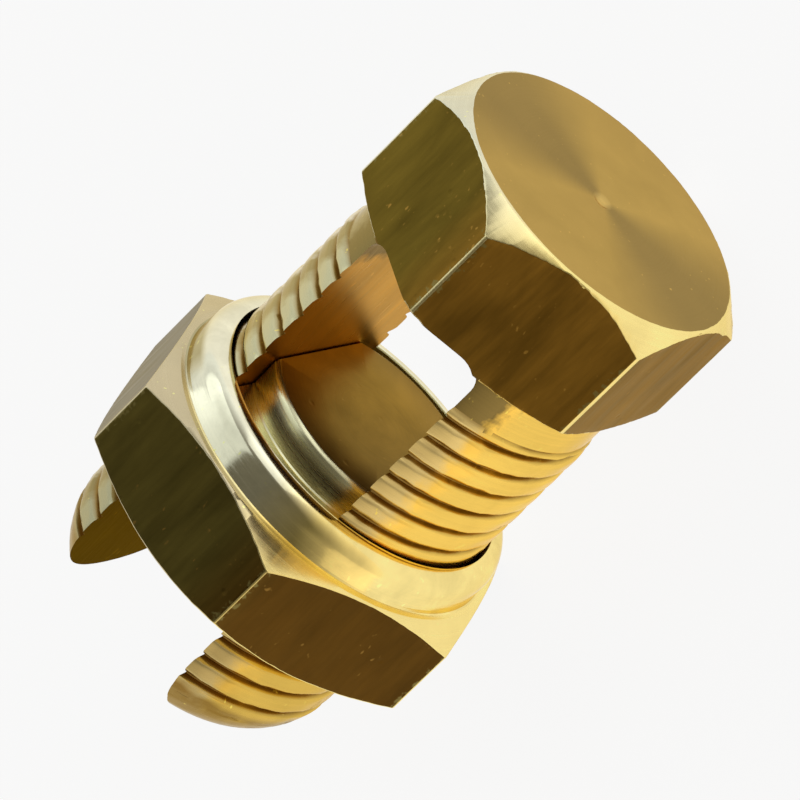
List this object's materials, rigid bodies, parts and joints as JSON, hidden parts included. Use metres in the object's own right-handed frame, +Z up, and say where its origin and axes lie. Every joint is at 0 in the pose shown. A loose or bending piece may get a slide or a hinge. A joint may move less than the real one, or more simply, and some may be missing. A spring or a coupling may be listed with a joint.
{
  "type": "split bolt connector",
  "caption": "Brass split bolt connector that clamps electrical conductors in the slot of a bolt between its head and a pressure pad driven by a nut.",
  "frame": {"origin": "centre of the bounding box's base, under the bolt's axis", "axes": "+Y along the bolt from its head to its leg tips, +Z up, square to the nut's flat that it lies on"},
  "size_m": [0.0332, 0.0494, 0.0287],
  "materials": {
    "bolt_brass": "machined and drawn brass, worn edges",
    "pad_brass": "dull turned brass",
    "nut_brass": "polished collar, dark drawn flats"
  },
  "bodies": {
    "bolt": {"split_bolt": "bolt_brass"},
    "pad": {"pressure_pad": "pad_brass"},
    "nut": {"nut": "nut_brass"}
  },
  "joints": [
    {"name": "pad_slide", "type": "slide", "parent": "bolt", "child": "pad", "axis": [0, -1, 0], "range_m": [-0.0114, 0.01316]},
    {"name": "nut_turn", "type": "hinge", "parent": "pad", "child": "nut", "pos_m": [0, 0.00885, 0.01435], "axis": [0, -1, 0], "range_deg": [-1980, 2286]}
  ],
  "couplings": [
    {"joint": "pad_slide", "follows": "nut_turn", "m_per_rad": 0.00032945}
  ]
}
